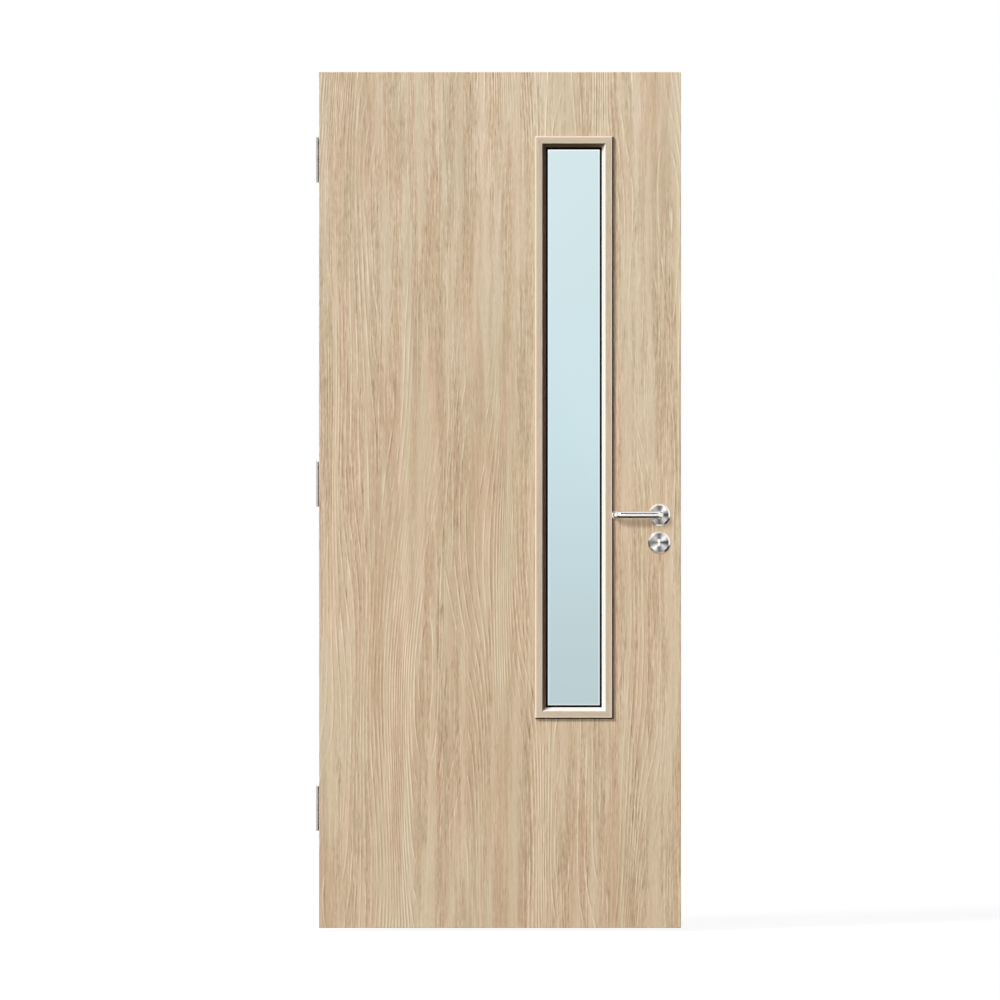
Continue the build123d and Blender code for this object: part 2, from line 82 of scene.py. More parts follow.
class Tree:
    """Short hand for one node tree: makes nodes, sets their plain inputs and links the rest."""

    def __init__(self, tree):
        self.tree = tree

    def node(self, kind, settings=None, **inputs):
        """Adds a node. settings are its properties; an input is a value or another node's output socket."""
        made = self.tree.nodes.new(kind)
        for key, value in (settings or {}).items():
            setattr(made, key, value)
        for key, value in inputs.items():
            self.put(made, key, value)
        return made

    def group(self, group, **inputs):
        """Places a node group."""
        return self.node("ShaderNodeGroup", {"node_tree": group}, **inputs)

    def put(self, node, name, value):
        """Sets or links one input, found by its name or by its place in the list of inputs."""
        socket = node.inputs[name]
        if isinstance(value, bpy.types.NodeSocket):
            self.tree.links.new(value, socket)
        else:
            socket.default_value = value

    def put_all(self, node, values):
        """Sets or links a node's first inputs, in their order."""
        for place, value in enumerate(values):
            self.put(node, place, value)

    def math(self, operation, *values):
        """One Math node over values or sockets."""
        made = self.node("ShaderNodeMath", {"operation": operation})
        self.put_all(made, values)
        return made.outputs[0]

    def vector(self, operation, *values):
        """One Vector Math node; a length comes out as a value."""
        made = self.node("ShaderNodeVectorMath", {"operation": operation})
        self.put_all(made, values)
        return made.outputs["Value" if operation == "LENGTH" else "Vector"]

    def total(self, first, *others):
        """The values added up."""
        for other in others:
            first = self.math("ADD", first, other)
        return first

    def product(self, first, *others):
        """The values multiplied."""
        for other in others:
            first = self.math("MULTIPLY", first, other)
        return first

    def swing(self, value, reach):
        """A value from 0 to 1, turned into one that swings about 0 over the given reach."""
        return self.math("MULTIPLY_ADD", value, reach, -reach / 2)

    def ramp(self, factor, low, high, smooth=True):
        """0 at low, 1 at high and between them an eased or an even rise; low may be above high."""
        made = self.node("ShaderNodeMapRange", {"interpolation_type": "SMOOTHSTEP" if smooth else "LINEAR"})
        self.put_all(made, (factor, low, high, 0.0, 1.0))
        return made.outputs[0]

    def hump(self, factor, rise, fall):
        """Rises from 0 to 1 over one pair of values and falls back over another."""
        return self.product(self.ramp(factor, *rise), self.ramp(factor, *fall))

    def blend(self, factor, first, second, kind="MIX"):
        """Mixes two colours: the factor is socket 0, the colours are 6 and 7, and the result is output 2."""
        made = self.node("ShaderNodeMix", {"data_type": "RGBA", "blend_type": kind})
        for socket, value in ((0, factor), (6, first), (7, second)):
            self.put(made, socket, value)
        return made.outputs[2]

    def three_tones(self, factor, tones):
        """From the first colour at 0 over the second at 0.5 to the third at 1."""
        first, second, third = tones
        lower = self.blend(self.ramp(factor, 0.0, 0.5, False), first, second)
        return self.blend(self.ramp(factor, 0.5, 1.0, False), lower, third)

    def noise(self, vector, scale, detail=2.0, roughness=0.5):
        """Noise from 0 to 1."""
        made = self.node("ShaderNodeTexNoise", Vector=vector, Scale=scale, Detail=detail, Roughness=roughness)
        return made.outputs[0]

    def grain_noise(self, vector, form, detail=1.0, roughness=0.5):
        """Noise stretched by form, the number of its cells to a metre along each axis."""
        return self.noise(self.vector("MULTIPLY", vector, form), 1.0, detail, roughness)

    def parts(self, vector):
        """The X, Y and Z of a vector."""
        return self.node("ShaderNodeSeparateXYZ", Vector=vector).outputs

    def join(self, **parts):
        """A vector from its X, Y and Z; what isn't given is 0."""
        return self.node("ShaderNodeCombineXYZ", **parts).outputs[0]

    def place(self):
        """Object coordinates, which are metres in the frame of the solids."""
        return self.node("ShaderNodeTexCoord").outputs["Object"]

    def relief(self, shader, height, strength, distance):
        """Gives a shader the bumps of a height."""
        made = self.node("ShaderNodeBump", Height=height, Strength=strength, Distance=distance)
        self.put(shader, "Normal", made.outputs[0])

    def mixed_shader(self, factor, first, second):
        """Two shaders mixed: the first alone at 0, the second alone at 1."""
        made = self.node("ShaderNodeMixShader")
        self.put_all(made, (factor, first.outputs[0], second.outputs[0]))
        return made


def colour(red, green, blue):
    """Linear colour with full alpha, from 0 to 255 as a picture shows it."""
    shares = np.array([red, green, blue]) / 255.0
    linear = np.where(shares <= 0.04045, shares / 12.92, ((shares + 0.055) / 1.055) ** 2.4)
    return (*[float(share) for share in linear], 1.0)


def grey(level):
    """Linear grey with full alpha."""
    return (level, level, level, 1.0)


def cleared(block):
    """Turns on a material's or a world's nodes, takes them all out and returns its Tree."""
    block.use_nodes = True
    block.node_tree.nodes.clear()
    return Tree(block.node_tree)


def new_group(name, inputs, outputs):
    """An empty shader node group with named sockets: returns its Tree, its input node and its output node."""
    group = bpy.data.node_groups.new(name, "ShaderNodeTree")
    for socket, kind, value in inputs:
        made = group.interface.new_socket(socket, in_out="INPUT", socket_type=kind)
        if value is not None:
            made.default_value = value
    for socket, kind in outputs:
        group.interface.new_socket(socket, in_out="OUTPUT", socket_type=kind)
    tree = Tree(group)
    return tree, tree.node("NodeGroupInput"), tree.node("NodeGroupOutput")


def new_material(name):
    """A material with a plain Principled shader: returns it, its Tree and the shader."""
    material = bpy.data.materials.new(name)
    tree = cleared(material)
    shader = tree.node("ShaderNodeBsdfPrincipled")
    tree.node("ShaderNodeOutputMaterial", Surface=shader.outputs[0])
    return material, tree, shader


# Oak grain
#
# A FORM is how many cells of noise go to a metre: across the face, into the wood and along the grain.
# SHOWS is where in a noise or a measure an effect starts and where it is full.
# A SHARE is how much of an effect counts, and a REACH how far it swings in all.
# The sway's reach and the edges of the ring lines are metres.

FINE_DETAIL, STREAK_DETAIL = 2.0, 1.5

SWAY_FORM, SWAY_REACH = (9.0, 9.0, 1.5), 0.016

OAK_RINGS, OAK_CONTRAST = 31.0, 0.75
RING_FORM, RING_ROUGHNESS, RING_LEAN = (6.5, 6.5, 0.80), 0.3, 2.6
RING_STEP = 0.001
LEAST_RISE, LEAST_SLOPE = 0.0001, 30.0
LENGTHWISE_SHOWS = (0.42, 0.14)
UNCROWDED_SHOWS = (420.0, 200.0)
PALE_LINE, PALE_LINE_SHARE = ((-0.0040, -0.0014), (0.0008, -0.0008)), 0.36
DARK_LINE, DARK_LINE_SHARE = ((-0.0006, 0.0010), (0.0048, 0.0016)), 0.28
PATCH_FORM, PATCH_SHOWS = (5.5, 5.5, 1.1), (0.36, 0.58)
BROKEN_FORM, BROKEN_SHOWS = (90.0, 90.0, 14.0), (0.30, 0.60)

BAND_FORM, BAND_REACH = (40.0, 40.0, 1.7), 0.30
BAND_EDGE_SHOWS, BAND_EDGE_REACH = (0.44, 0.58), 0.16
BROAD_FORM, BROAD_REACH = (16.0, 16.0, 0.7), 0.34

CALM_FORM, CALM_SHOWS, CALM_SHARE = (8.0, 8.0, 0.6), (0.50, 0.64), 0.5
PALE_BAND_SHOWS, PALE_BAND_SHARE, STREAK_FORCE = (0.46, 0.60), 0.75, 1.12
HAIR_FORM, HAIR_SHOWS, HAIR_SHARE = (350.0, 350.0, 8.5), (0.50, 0.66), 0.26
DASH_FORM, DASH_SHOWS, DASH_SHARE = (360.0, 360.0, 25.0), (0.47, 0.30), 0.27
FLECK_FORM, FLECK_REACH = (380.0, 380.0, 65.0), 0.58
SOFT_FORM, SOFT_ROUGHNESS, SOFT_SHARE, SOFT_LOSS = (85.0, 85.0, 6.0), 0.6, 0.34, 0.145

DRIFT_FORM, DRIFT_SHARE, DRIFT_BAND_SHARE = (28.0, 28.0, 3.0), 0.65, 0.35
PORE_FORM, PORE_SHOWS = (1400.0, 1400.0, 38.0), (0.60, 0.72)
PORE_DEPTH, DASH_HEIGHT = 0.6, 0.4


def ring_height(tree, place):
    """A slope across the grain plus a noise drawn out along it, whose contour lines are the growth rings."""
    hills = tree.grain_noise(place, RING_FORM, roughness=RING_ROUGHNESS)
    return tree.math("MULTIPLY_ADD", tree.parts(place)[0], RING_LEAN, hills)


def ring_lines(tree, place, swayed, count):
    """Growth rings: count contour lines to a unit of ring height, each a pale line beside a dark one.

    The distance from a line is the part over a whole number, less a half, divided by the slope across the
    grain. The lines fade where they climb across the grain or crowd together, and they show, a little
    broken, only in patches.
    """
    here = ring_height(tree, swayed)
    beside = ring_height(tree, tree.vector("ADD", swayed, (RING_STEP, 0.0, 0.0)))
    above = ring_height(tree, tree.vector("ADD", swayed, (0.0, 0.0, RING_STEP)))
    rise = tree.math("ABSOLUTE", tree.math("SUBTRACT", beside, here))
    climb = tree.math("ABSOLUTE", tree.math("SUBTRACT", above, here))
    steepness = tree.math("DIVIDE", climb, tree.math("MAXIMUM", rise, LEAST_RISE))
    lengthwise = tree.ramp(steepness, *LENGTHWISE_SHOWS)
    slope = tree.product(tree.math("DIVIDE", rise, RING_STEP), count)
    wave = tree.math("SUBTRACT", tree.math("FRACT", tree.product(here, count)), 0.5)
    off = tree.math("DIVIDE", wave, tree.math("MAXIMUM", slope, LEAST_SLOPE))
    pale = tree.product(tree.hump(off, *PALE_LINE), PALE_LINE_SHARE)
    dark = tree.product(tree.hump(off, *DARK_LINE), DARK_LINE_SHARE)
    patch = tree.ramp(tree.grain_noise(place, PATCH_FORM), *PATCH_SHOWS)
    broken = tree.ramp(tree.grain_noise(place, BROKEN_FORM), *BROKEN_SHOWS)
    shown = tree.product(patch, broken, tree.ramp(slope, *UNCROWDED_SHOWS), lengthwise)
    return tree.product(tree.math("SUBTRACT", pale, dark), shown)


def make_oak_grain():
    """Oak, cut along the grain: X is metres across its face, Y into the wood and Z along the grain.

    The place sways a little across the grain before most effects read it.
    Bands: pale smooth stripes between darker ones, over broad changes of tone.
    Streaks: pale hairlines, dark dashes and flecks, faint in the pale bands and in calm patches, and softer
    streaks that run through everywhere.
    Tone is the sum of rings, streaks and bands, about 0.5. Drift is a slow change of hue, Pore marks short
    dark dashes and Relief is the height of the open grain.
    """
    tree, given, out = new_group(
        "oak_grain",
        [("Place", VECTOR, None), ("Rings", FLOAT, OAK_RINGS), ("Contrast", FLOAT, OAK_CONTRAST)],
        [("Tone", FLOAT), ("Drift", FLOAT), ("Pore", FLOAT), ("Relief", FLOAT)],
    )
    place = given.outputs["Place"]
    sway = tree.swing(tree.grain_noise(place, SWAY_FORM, FINE_DETAIL), SWAY_REACH)
    swayed = tree.vector("ADD", place, tree.join(X=sway))
    rings = ring_lines(tree, place, swayed, given.outputs["Rings"])

    band = tree.grain_noise(swayed, BAND_FORM, FINE_DETAIL)
    edge = tree.ramp(band, *BAND_EDGE_SHOWS)
    broad = tree.grain_noise(swayed, BROAD_FORM)
    bands = tree.total(
        tree.swing(band, BAND_REACH), tree.swing(edge, BAND_EDGE_REACH), tree.swing(broad, BROAD_REACH)
    )

    calm = tree.ramp(tree.grain_noise(swayed, CALM_FORM), *CALM_SHOWS)
    force = tree.math("MULTIPLY_ADD", tree.ramp(band, *PALE_BAND_SHOWS), -PALE_BAND_SHARE, STREAK_FORCE)
    force = tree.product(force, tree.math("MULTIPLY_ADD", calm, -CALM_SHARE, 1.0))
    long_streak = tree.grain_noise(swayed, HAIR_FORM, STREAK_DETAIL)
    short_streak = tree.grain_noise(swayed, DASH_FORM, STREAK_DETAIL)
    hair = tree.product(tree.ramp(long_streak, *HAIR_SHOWS), HAIR_SHARE)
    dash = tree.product(tree.ramp(short_streak, *DASH_SHOWS), DASH_SHARE)
    flecks = tree.swing(tree.grain_noise(place, FLECK_FORM), FLECK_REACH)
    streaks = tree.total(tree.math("SUBTRACT", hair, dash), flecks)
    soft_streak = tree.grain_noise(swayed, SOFT_FORM, FINE_DETAIL, SOFT_ROUGHNESS)
    soft = tree.math("MULTIPLY_ADD", soft_streak, SOFT_SHARE, -SOFT_LOSS)
    streaks = tree.math("MULTIPLY_ADD", streaks, force, soft)

    tone = tree.math("MULTIPLY_ADD", tree.total(rings, streaks, bands), given.outputs["Contrast"], 0.5)
    drift = tree.grain_noise(swayed, DRIFT_FORM, FINE_DETAIL)
    drift = tree.math("MULTIPLY_ADD", drift, DRIFT_SHARE, tree.product(band, DRIFT_BAND_SHARE))
    pore = tree.ramp(tree.grain_noise(place, PORE_FORM), *PORE_SHOWS)
    relief = tree.math("MULTIPLY_ADD", pore, -PORE_DEPTH, tree.product(short_streak, DASH_HEIGHT))
    for name, value in (("Tone", tone), ("Drift", drift), ("Pore", pore), ("Relief", relief)):
        tree.put(out, name, value)
    return tree.tree


# Metal finishes

SATIN_ROUGHNESS = 0.25
SCRATCH_SCALE, SCRATCH_ROUGHNESS, SCRATCH_REACH = 900.0, 0.6, 0.10
CLOUD_SCALE, CLOUD_REACH = 60.0, 0.08

# Scratches run along the axis with the small number
EVENLY, ALONG_X, ALONG_Z = (1.0, 1.0, 1.0), (0.05, 1.0, 1.0), (1.0, 1.0, 0.05)

# Painted reflections on the turned discs: light and dark sectors, a bright rim and dark crescents
SECTOR_WAVES = 4.0
SECTOR_MEAN, SECTOR_FORCE, SECTOR_FORCE_RIGHT = 0.56, 0.42, 0.12
DISC_RIM_START, DISC_RIM_FULL = 0.021, 0.022

# Each painted dark crescent on a disc's rim: its middle in degrees, the cosines of the turn from there at
# which it starts and is full, and its share
CRESCENTS = ((-38.0, 0.86, 0.98, 1.0), (188.0, 0.90, 0.985, 0.85))


def make_brushed_metal():
    """Brushed finish: fine scratches drawn out along one axis, and a faint uneven sheen."""
    tree, given, out = new_group(
        "brushed_metal",
        [("Place", VECTOR, None), ("Stretch", VECTOR, EVENLY), ("Roughness", FLOAT, SATIN_ROUGHNESS)],
        [("Scratch", FLOAT), ("Sheen", FLOAT)],
    )
    place = given.outputs["Place"]
    drawn = tree.vector("MULTIPLY", place, given.outputs["Stretch"])
    scratch = tree.noise(drawn, SCRATCH_SCALE, roughness=SCRATCH_ROUGHNESS)
    cloud = tree.noise(place, CLOUD_SCALE)
    uneven = tree.total(tree.swing(scratch, SCRATCH_REACH), tree.swing(cloud, CLOUD_REACH))
    tree.put(out, "Scratch", scratch)
    tree.put(out, "Sheen", tree.total(given.outputs["Roughness"], uneven))
    return tree.tree


def make_painted_disc_sheen():
    """Painted reflections of a disc that was turned about Y: light and dark sectors, four waves round it,
    strongest at its right.

    X is read from the disc's own front, so that the discs on both faces look alike. Rim marks the bevel,
    which takes a painted highlight, and Crescent its lower right and left, which take painted dark
    reflections.
    """
    tree, given, out = new_group(
        "painted_disc_sheen", [("Place", VECTOR, None)], [("Sector", FLOAT), ("Rim", FLOAT), ("Crescent", FLOAT)]
    )
    parts = tree.parts(given.outputs["Place"])
    across = tree.product(parts[0], tree.product(tree.math("SIGN", parts[1]), -1.0))
    angle = tree.math("ARCTAN2", parts[2], across)
    waves = tree.math("COSINE", tree.product(angle, SECTOR_WAVES))
    darkening = tree.math("MULTIPLY_ADD", tree.math("COSINE", angle), -SECTOR_FORCE_RIGHT, -SECTOR_FORCE)
    tree.put(out, "Sector", tree.math("MULTIPLY_ADD", waves, darkening, SECTOR_MEAN))
    radius = tree.vector("LENGTH", tree.join(X=parts[0], Z=parts[2]))
    rim = tree.ramp(radius, DISC_RIM_START, DISC_RIM_FULL)
    tree.put(out, "Rim", rim)
    dark = 0.0
    for middle, start, full, share in CRESCENTS:
        near = tree.math("COSINE", tree.math("SUBTRACT", angle, math.radians(middle)))
        dark = tree.math("MULTIPLY_ADD", tree.ramp(near, start, full), share, dark)
    tree.put(out, "Crescent", tree.product(rim, dark))
    return tree.tree


OAK_GRAIN = make_oak_grain()
PAINTED_DISC_SHEEN = make_painted_disc_sheen()
BRUSHED_METAL = make_brushed_metal()


# Wood

OAK_TONES = (colour(157, 129, 101), colour(205, 183, 154), colour(242, 227, 204))
BEAD_TONES = (colour(166, 145, 121), colour(205, 187, 166), colour(236, 222, 202))
PINK_TINT, GREEN_TINT, TINT_SHOWS = (1.024, 0.980, 0.968, 1.0), (0.974, 1.010, 0.988, 1.0), (0.3, 0.7)
# Painted light and shade: the oak lighter towards the leaf's head, darker and warmer below its middle
PAINTED_HEAD_LIGHT = 0.05
PAINTED_FOOT_SHADE = (0.982, 0.952, 0.930, 1.0)
END_GRAIN, END_GRAIN_SHARE = colour(126, 101, 75), 0.9
END_GRAIN_DEEP, END_GRAIN_FULL = 0.0004, 0.0001
PORE_DARKER = 0.3
LACQUER_ROUGHNESS, PORE_ROUGHER = 0.46, 0.15
OAK_GLOSS, BEAD_GLOSS = 0.25, 0.06
GRAIN_RELIEF = (0.15, 0.0003)

BEAD_RINGS, BEAD_CONTRAST = 4.0, 0.45
SPLAY_BLUR, ARRIS_BLUR = 0.0004, 0.0002
FOOT_LINE_WIDTH = 0.0011
# Painted shadow: a dark line along each bead's outer arris, widest where the splay is painted lit
BEAD_PAINTED_SHADOW_TONE, BEAD_PAINTED_SHADOW_SHARE = colour(84, 64, 46), 0.85
SEAL_BLACK = colour(3, 4, 4)

# The bead's painted highlight along its outer edge starts and is full this far in from its outside
BEAD_EDGE_HIGHLIGHT = colour(232, 212, 190)
BEAD_HIGHLIGHT_START, BEAD_HIGHLIGHT_FULL = 0.0052, 0.0030

CHIP_SCALE, CHIP_SHOWS = 420.0, (0.1, 0.8)
CHIP_LIGHT, CHIP_DARK = colour(196, 168, 128), colour(150, 120, 84)
BOARD_ROUGHNESS, CHIP_ROUGHER = 0.8, 0.1

# A splay's tone, painted lit or painted shaded, with the width of the painted shadow line along that bead's
# outer arris
PAINTED_LIT_SPLAY = (colour(226, 221, 211), 0.0022)
PAINTED_SHADED_SPLAY = (colour(172, 142, 114), 0.0003)

# The beads on each face whose splay takes the painted shade, as they turn away from the lamps
PAINTED_SHADED_SPLAYS = {"front": ("top", "hinge_side"), "back": ("top", "lock_side")}

# The grain's axes, across the face, into the wood and along it, and its shift, so that boards differ
FACING_GRAIN = {"front": ("XYZ", (0.0, 0.0, 0.0)), "back": ("XYZ", (1.37, 0.0, 0.61))}
UPRIGHT_EDGE_GRAIN = ("YXZ", (2.2, 0.3, 0.4))
LEVEL_EDGE_GRAIN = ("YZX", (0.4, 0.8, 1.9))
UPRIGHT_BEAD_GRAIN = ("XYZ", (0.31, 0.0, 2.0))
LEVEL_BEAD_GRAIN = ("ZYX", (3.1, 0.0, 0.7))
LEVEL_BEADS = ("top", "bottom")


def grain_place(tree, axes, shift):
    """Object coordinates in the order that axes spells: across the face, into the wood, along the grain."""
    parts = tree.parts(tree.vector("ADD", tree.place(), shift))
    return tree.join(**{own: parts[axis] for own, axis in zip("XYZ", axes)})


def oak_colour(tree, grain, tones, tone):
    """Colour of the wood: dark over mean to light by tone, tinted by the drift and darker in the pores."""
    tint = tree.blend(tree.ramp(grain.outputs["Drift"], *TINT_SHOWS), PINK_TINT, GREEN_TINT)
    wood = tree.blend(1.0, tree.three_tones(tone, tones), tint, "MULTIPLY")
    return tree.blend(tree.product(grain.outputs["Pore"], PORE_DARKER), wood, tones[0])


def finish_wood(tree, shader, grain, wood, gloss):
    """Satin lacquer over open grain."""
    tree.put(shader, "Base Color", wood)
    roughness = tree.math("MULTIPLY_ADD", grain.outputs["Pore"], PORE_ROUGHER, LACQUER_ROUGHNESS)
    tree.put(shader, "Roughness", roughness)
    tree.put(shader, "Specular IOR Level", gloss)
    tree.relief(shader, grain.outputs["Relief"], *GRAIN_RELIEF)


def oak_material(name, axes, shift, end_share=END_GRAIN_SHARE):
    """Flat-cut oak for facings and lippings, darker on its cut end, with painted light: lighter towards the
    leaf's head, and darker and warmer from its middle down.
    """
    material, tree, shader = new_material(name)
    middle, head = float(LEAF_CENTRE[2]), float(LEAF_HIGH[2])
    grain = tree.group(OAK_GRAIN, Place=grain_place(tree, axes, shift))
    up = tree.parts(tree.place())[2]
    painted_light = tree.math("MULTIPLY_ADD", up, PAINTED_HEAD_LIGHT, -PAINTED_HEAD_LIGHT * middle)
    wood = oak_colour(tree, grain, OAK_TONES, tree.total(grain.outputs["Tone"], painted_light))
    wood = tree.blend(1.0, wood, tree.blend(tree.ramp(up, middle, head), PAINTED_FOOT_SHADE, WHITE), "MULTIPLY")
    end = tree.ramp(up, head - END_GRAIN_DEEP, head - END_GRAIN_FULL)
    wood = tree.blend(tree.product(end, end_share), wood, END_GRAIN)
    finish_wood(tree, shader, grain, wood, OAK_GLOSS)
    return material


def panel_distance(tree):
    """Metres outwards from the beads' inner edge, in the plane of the leaf; less than zero over the glass."""
    half = (BEAD_HIGH - BEAD_LOW) / 2 - BEAD_WIDTH
    centred = tree.vector("SUBTRACT", tree.place(), tuple(PANEL_CENTRE))
    parts = tree.parts(tree.vector("ABSOLUTE", centred))
    side = tree.math("SUBTRACT", parts[0], float(half[0]))
    end = tree.math("SUBTRACT", parts[2], float(half[2]))
    return tree.math("MAXIMUM", side, end)


def bead_material(name, axes, shift, painted_splay_tone, arris):
    """Straight-grained bead with a painted lit or shaded splay, a painted highlight along its outer edge and
    a painted shadow line at its outer arris.

    A black line lies along the splay's foot. Each of these is a stripe by the distance out from the inner
    edge.
    """
    material, tree, shader = new_material(name)
    place = grain_place(tree, axes, shift)
    grain = tree.group(OAK_GRAIN, Place=place, Rings=BEAD_RINGS, Contrast=BEAD_CONTRAST)
    out = panel_distance(tree)
    splay = tree.ramp(out, BEAD_SPLAY + SPLAY_BLUR, BEAD_SPLAY - SPLAY_BLUR)
    foot_line = tree.ramp(out, FOOT_LINE_WIDTH, FOOT_LINE_WIDTH / 2)
    # Painted highlight along the outer edge
    edge = tree.ramp(out, BEAD_WIDTH - BEAD_HIGHLIGHT_START, BEAD_WIDTH - BEAD_HIGHLIGHT_FULL)
    # Painted shadow line along the outer arris
    painted_shadow_line = tree.ramp(out, BEAD_WIDTH - arris - ARRIS_BLUR, BEAD_WIDTH - arris + ARRIS_BLUR)
    wood = oak_colour(tree, grain, BEAD_TONES, grain.outputs["Tone"])
    wood = tree.blend(splay, wood, painted_splay_tone)
    wood = tree.blend(foot_line, wood, SEAL_BLACK)
    wood = tree.blend(edge, wood, BEAD_EDGE_HIGHLIGHT)
    wood = tree.blend(tree.product(painted_shadow_line, BEAD_PAINTED_SHADOW_SHARE), wood, BEAD_PAINTED_SHADOW_TONE)
    finish_wood(tree, shader, grain, wood, BEAD_GLOSS)
    return material


def board_material():
    """Particle board: pale chips pressed together, seen only where the leaf is cut."""
    material, tree, shader = new_material("particle_board")
    chips = tree.node("ShaderNodeTexVoronoi", Vector=tree.place(), Scale=CHIP_SCALE).outputs["Distance"]
    tree.put(shader, "Base Color", tree.blend(tree.ramp(chips, *CHIP_SHOWS), CHIP_LIGHT, CHIP_DARK))
    tree.put(shader, "Roughness", tree.math("MULTIPLY_ADD", chips, CHIP_ROUGHER, BOARD_ROUGHNESS))
    return material


# Glass and seal

GLASS_TONES = (colour(181, 201, 205), colour(199, 224, 229), colour(210, 230, 234))
# Painted highlights: a slanting gleam on the pane, and a bright line along the seal, stronger at the head
GLASS_PAINTED_GLEAM, GLEAM_SHARE = colour(222, 238, 241), 0.08
GLEAM_SLANT, GLEAM_RISE, GLEAM_FALL = 3.2, (-0.10, 0.10), (0.75, 0.25)
LIT_LINE, LIT_LINE_SHARE, LIT_HEAD_SHARE = colour(250, 255, 255), 0.4, 0.55
LIT_LINE_START, LIT_LINE_FULL = 0.0040, 0.0015
LIT_HEAD_START, LIT_HEAD_FULL = 0.030, 0.020
SMEAR_SCALE, SMEAR_ROUGHNESS = 14.0, 0.02
SMUDGE_DETAIL = 3.0
GLASS_IOR = 1.5

SEAL_GREY = colour(14, 16, 16)
SEAL_CLOUD_SCALE = 180.0
SEAL_ROUGHNESS, SEAL_ROUGHER, SEAL_GLOSS = 0.6, 0.2, 0.08
SEAL_RELIEF = (0.2, 0.0003)


def glass_material():
    """Pale blue-green pane, deeper towards its foot, with a painted slanting gleam and a painted bright line
    at the seal.
    """
    material, tree, shader = new_material("tinted_fire_glass")
    place = tree.place()
    parts = tree.parts(place)
    foot, head = float(PANE_LOW[2]), float(PANE_HIGH[2])
    tone = tree.three_tones(tree.ramp(parts[2], foot, head, False), GLASS_TONES)
    slant = tree.math("MULTIPLY_ADD", parts[0], GLEAM_SLANT, parts[2])
    slant = tree.math("SUBTRACT", slant, GLEAM_SLANT * float(PANEL_CENTRE[0]) + float(PANEL_CENTRE[2]))
    gleam = tree.product(tree.hump(slant, GLEAM_RISE, GLEAM_FALL), GLEAM_SHARE)
    tone = tree.blend(gleam, tone, GLASS_PAINTED_GLEAM)
    line = tree.ramp(panel_distance(tree), -SEAL_SHOWING - LIT_LINE_START, -SEAL_SHOWING - LIT_LINE_FULL)
    at_head = tree.ramp(parts[2], head - LIT_HEAD_START, head - LIT_HEAD_FULL)
    line = tree.product(line, tree.math("MULTIPLY_ADD", at_head, LIT_HEAD_SHARE, LIT_LINE_SHARE))
    tree.put(shader, "Base Color", tree.blend(line, tone, LIT_LINE))
    smear = tree.noise(place, SMEAR_SCALE, SMUDGE_DETAIL)
    tree.put(shader, "Roughness", tree.product(smear, SMEAR_ROUGHNESS))
    tree.put(shader, "Transmission Weight", 1.0)
    tree.put(shader, "IOR", GLASS_IOR)
    return material


def seal_material():
    """Black intumescent glazing tape with a soft, slightly dusty surface."""
    material, tree, shader = new_material("glazing_seal_black")
    cloud = tree.noise(tree.place(), SEAL_CLOUD_SCALE, SMUDGE_DETAIL)
    tree.put(shader, "Base Color", tree.blend(cloud, SEAL_BLACK, SEAL_GREY))
    tree.put(shader, "Roughness", tree.math("MULTIPLY_ADD", cloud, SEAL_ROUGHER, SEAL_ROUGHNESS))
    tree.put(shader, "Specular IOR Level", SEAL_GLOSS)
    tree.relief(shader, cloud, *SEAL_RELIEF)
    return material


# Metals

STEEL_LIGHT, STEEL_DARK = colour(214, 212, 209), colour(172, 170, 166)
# The bar's tones; the light one is also the painted highlight on the discs' rims
BAR_LIGHT_AND_RIM_HIGHLIGHT, BAR_DARK = colour(252, 250, 247), colour(234, 232, 229)
ZINC_LIGHT, ZINC_DARK = colour(196, 198, 196), colour(160, 162, 160)
NICKEL_LIGHT, NICKEL_DARK = colour(214, 208, 196), colour(184, 178, 166)
# Dark of the painted sectors and crescents on the discs
PAINTED_DISC_SHADE = colour(74, 75, 77)
DISC_ROUGHNESS, BAR_ROUGHNESS, PLATE_ROUGHNESS = 0.30, 0.15, 0.28
ZINC_ROUGHNESS, NICKEL_ROUGHNESS = 0.35, 0.2
DISC_ANISOTROPY = 0.7
SCRATCH_RELIEF = (0.08, 0.00005)


def bare_metal(name, roughness, stretch):
    """Satin metal with scratches but no colour yet: returns it, its Tree, its shader and the scratches."""
    material, tree, shader = new_material(name)
    brush = tree.group(BRUSHED_METAL, Place=tree.place(), Stretch=stretch, Roughness=roughness)
    tree.put(shader, "Roughness", brush.outputs["Sheen"])
    tree.put(shader, "Metallic", 1.0)
    tree.relief(shader, brush.outputs["Scratch"], *SCRATCH_RELIEF)
    return material, tree, shader, brush.outputs["Scratch"]


def brushed_material(name, roughness, stretch, light, dark):
    """Satin metal with its scratches in two tones."""
    material, tree, shader, scratch = bare_metal(name, roughness, stretch)
    tree.put(shader, "Base Color", tree.blend(scratch, dark, light))
    return material


def turned_material(name, centre):
    """Satin disc turned about Y round a centre, with painted reflections: light and dark sectors, a bright
    rim with dark crescents.
    """
    material, tree, shader, _ = bare_metal(name, DISC_ROUGHNESS, EVENLY)
    tree.put(shader, "Anisotropic", DISC_ANISOTROPY)
    tangent = tree.node("ShaderNodeTangent", {"direction_type": "RADIAL", "axis": "Y"})
    tree.put(shader, "Tangent", tangent.outputs[0])
    sheen = tree.group(PAINTED_DISC_SHEEN, Place=tree.vector("SUBTRACT", tree.place(), tuple(centre))).outputs
    # Painted reflections: sectors, a highlight on the rim and dark crescents
    metal = tree.blend(tree.ramp(sheen["Sector"], 0.0, 1.0, False), PAINTED_DISC_SHADE, STEEL_LIGHT)
    metal = tree.blend(sheen["Rim"], metal, BAR_LIGHT_AND_RIM_HIGHLIGHT)
    metal = tree.blend(sheen["Crescent"], metal, PAINTED_DISC_SHADE)
    tree.put(shader, "Base Color", metal)
    return material


# Surfaces


